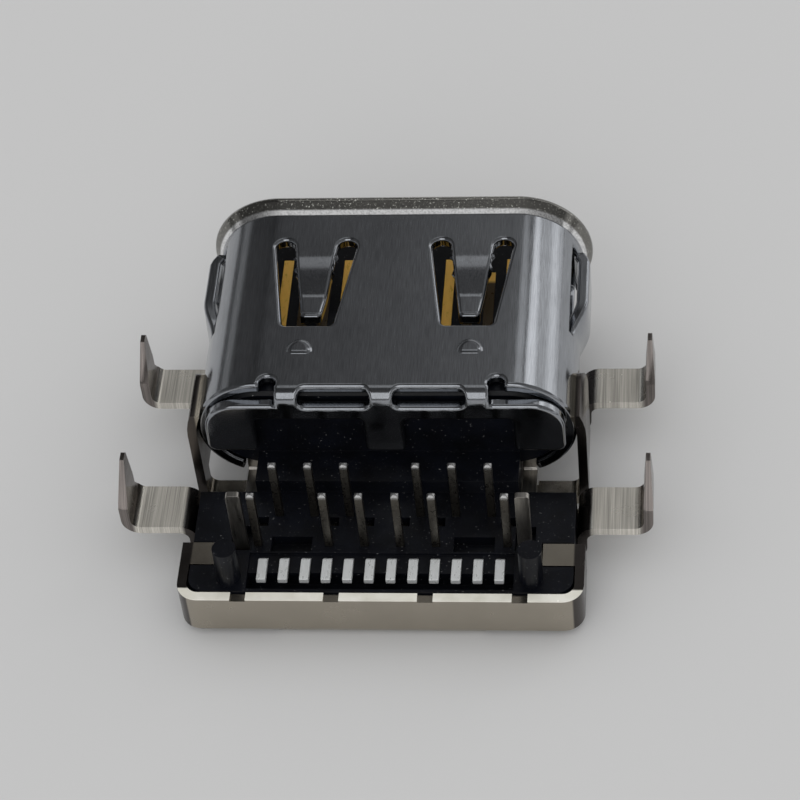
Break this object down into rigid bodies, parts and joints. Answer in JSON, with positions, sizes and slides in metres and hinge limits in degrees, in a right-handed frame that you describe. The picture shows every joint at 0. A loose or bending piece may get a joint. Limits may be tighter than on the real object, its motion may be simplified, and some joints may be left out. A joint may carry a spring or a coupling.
{
  "type": "usb-c socket",
  "caption": "Reversible plug socket in a steel tube, sunk in a board cut-out, with a black moulding, soldered legs, through-board pins and surface tails.",
  "frame": {"origin": "middle of the footprint, on the outer face of the cover plate", "axes": "+X to the right as seen from the rear, +Y out of the plug mouth, +Z towards the board side"},
  "size_m": [0.0124, 0.01, 0.0043],
  "materials": {
    "tube_steel": "brushed along the tube, dark blue-grey with bright round sides",
    "cover_nickel": "satin nickel, slightly warm",
    "plate_steel": "satin steel",
    "black_moulding": "fine matte, bluish black",
    "pin_plating": "gold plating on the tongue, grey tin on the pins",
    "tail_plating": "gold plating on the tongue, pale matte tin on the tails"
  },
  "bodies": {
    "root": {"front_shell": "tube_steel", "rear_cover": "cover_nickel", "mid_plate": "plate_steel", "upper_insulator": "black_moulding", "lower_insulator": "black_moulding", "housing": "black_moulding", "upper_grounding_pad": "plate_steel", "lower_grounding_pad": "plate_steel", "pin_contact_01": "pin_plating", "pin_contact_02": "pin_plating", "pin_contact_03": "pin_plating", "pin_contact_04": "pin_plating", "pin_contact_05": "pin_plating", "pin_contact_06": "pin_plating", "pin_contact_07": "pin_plating", "pin_contact_08": "pin_plating", "pin_contact_09": "pin_plating", "pin_contact_10": "pin_plating", "pin_contact_11": "pin_plating", "pin_contact_12": "pin_plating", "tail_contact_01": "tail_plating", "tail_contact_02": "tail_plating", "tail_contact_03": "tail_plating", "tail_contact_04": "tail_plating", "tail_contact_05": "tail_plating", "tail_contact_06": "tail_plating", "tail_contact_07": "tail_plating", "tail_contact_08": "tail_plating", "tail_contact_09": "tail_plating", "tail_contact_10": "tail_plating", "tail_contact_11": "tail_plating", "tail_contact_12": "tail_plating"}
  },
  "joints": []
}
